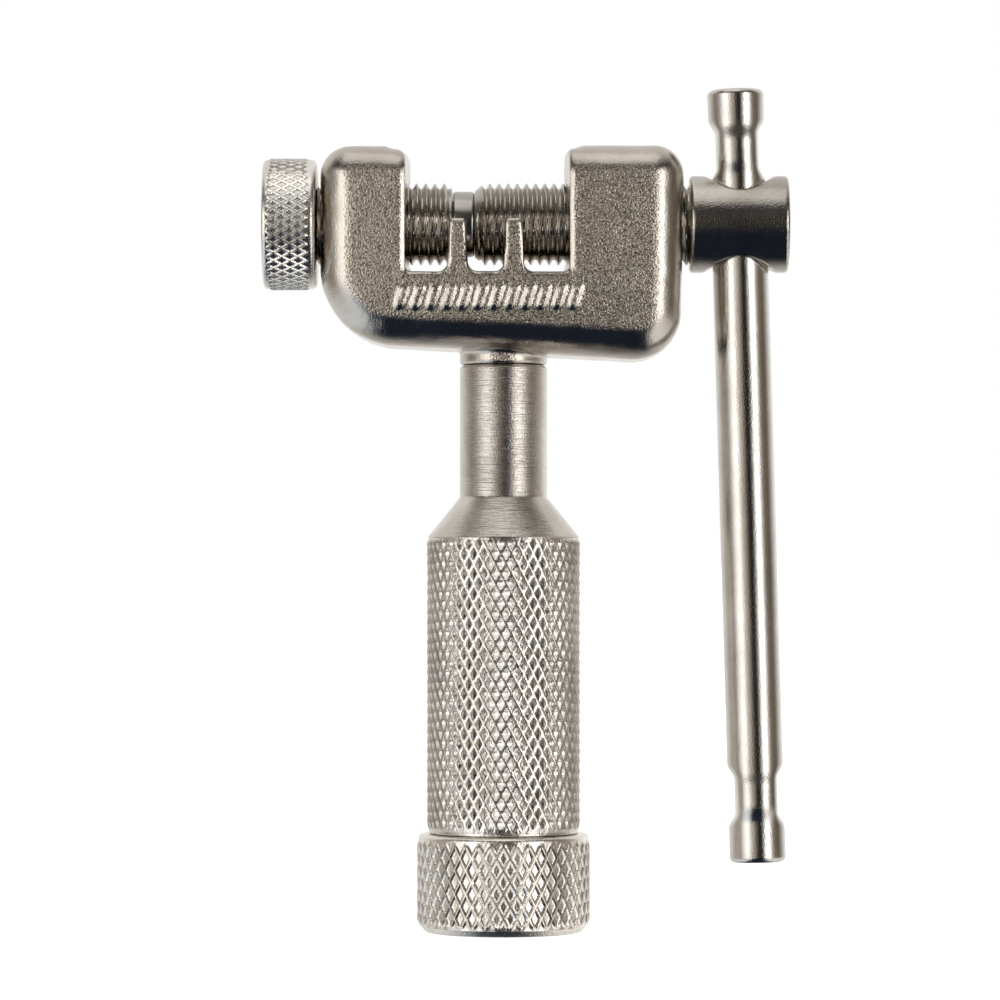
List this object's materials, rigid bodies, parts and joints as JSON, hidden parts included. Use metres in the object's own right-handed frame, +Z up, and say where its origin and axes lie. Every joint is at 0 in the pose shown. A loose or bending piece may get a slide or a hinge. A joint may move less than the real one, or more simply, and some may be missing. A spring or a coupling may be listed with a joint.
{
  "type": "bicycle chain tool",
  "caption": "Bicycle chain tool: forged C frame with two chain cradles, drive spindle with sliding tommy bar, knurled anvil screw, hollow knurled handle and screw cap.",
  "frame": {"origin": "centre of the end cap's flat foot, on the handle's axis", "axes": "+Z up the handle, +X towards the drive spindle's head and its tommy bar, +Y from the front face to the back face of the forged frame"},
  "size_m": [0.0606, 0.02, 0.0973],
  "materials": {
    "forged_plate": "nickel plate over a forged skin, speckled on its flat faces and polished on its edges",
    "turned_plate": "nickel-plated turned steel with a fine diamond knurl",
    "cap_plate": "nickel-plated steel with a coarse diamond knurl",
    "hard_steel": "hardened ground steel",
    "screw_steel": "polished screw steel",
    "spring_steel": "dark spring steel",
    "bar_plate": "bright plated bar",
    "knob_plate": "nickel-plated steel with a diamond knurl",
    "nose_steel": "smooth ground steel"
  },
  "bodies": {
    "body": {"frame": "forged_plate", "handle": "turned_plate"},
    "push_pin": {"drive_pin": "hard_steel", "thrust_ball": "hard_steel"},
    "spindle": {"drive_spindle": "screw_steel", "pin_retaining_ring": "spring_steel"},
    "bar": {"tommy_bar": "bar_plate"},
    "nose": {"anvil_nose": "nose_steel"},
    "anvil": {"anvil_screw": "screw_steel", "anvil_knob": "knob_plate", "nose_retaining_ring": "spring_steel"},
    "spares": {"spare_drive_pins": "hard_steel"},
    "cap": {"end_cap": "cap_plate"}
  },
  "joints": [
    {"name": "pin_feed", "type": "slide", "parent": "body", "child": "push_pin", "axis": [1, 0, 0], "range_m": [0, 0.01482]},
    {"name": "spindle_turn", "type": "hinge", "parent": "push_pin", "child": "spindle", "pos_m": [0.02729, 0, 0.0817], "axis": [1, 0, 0], "range_deg": [0, 5040]},
    {"name": "bar_slide", "type": "slide", "parent": "spindle", "child": "bar", "axis": [-0.0286, 0, 0.9996], "range_m": [0, 0.0577]},
    {"name": "anvil_feed", "type": "slide", "parent": "body", "child": "nose", "axis": [-1, 0, 0], "range_m": [0, 0.00953]},
    {"name": "anvil_turn", "type": "hinge", "parent": "nose", "child": "anvil", "pos_m": [-0.0246, 0, 0.0817], "axis": [-1, 0, 0], "range_deg": [0, 3240]},
    {"name": "cap_feed", "type": "slide", "parent": "body", "child": "spares", "axis": [0, 0, -1], "range_m": [0, 0.006]},
    {"name": "cap_turn", "type": "hinge", "parent": "spares", "child": "cap", "pos_m": [0, 0, 0.005], "axis": [0, 0, -1], "range_deg": [0, 2160]}
  ],
  "couplings": [
    {"joint": "pin_feed", "follows": "spindle_turn", "m_per_rad": 0.00016844},
    {"joint": "anvil_feed", "follows": "anvil_turn", "m_per_rad": 0.00016844},
    {"joint": "cap_feed", "follows": "cap_turn", "m_per_rad": 0.00015915}
  ]
}
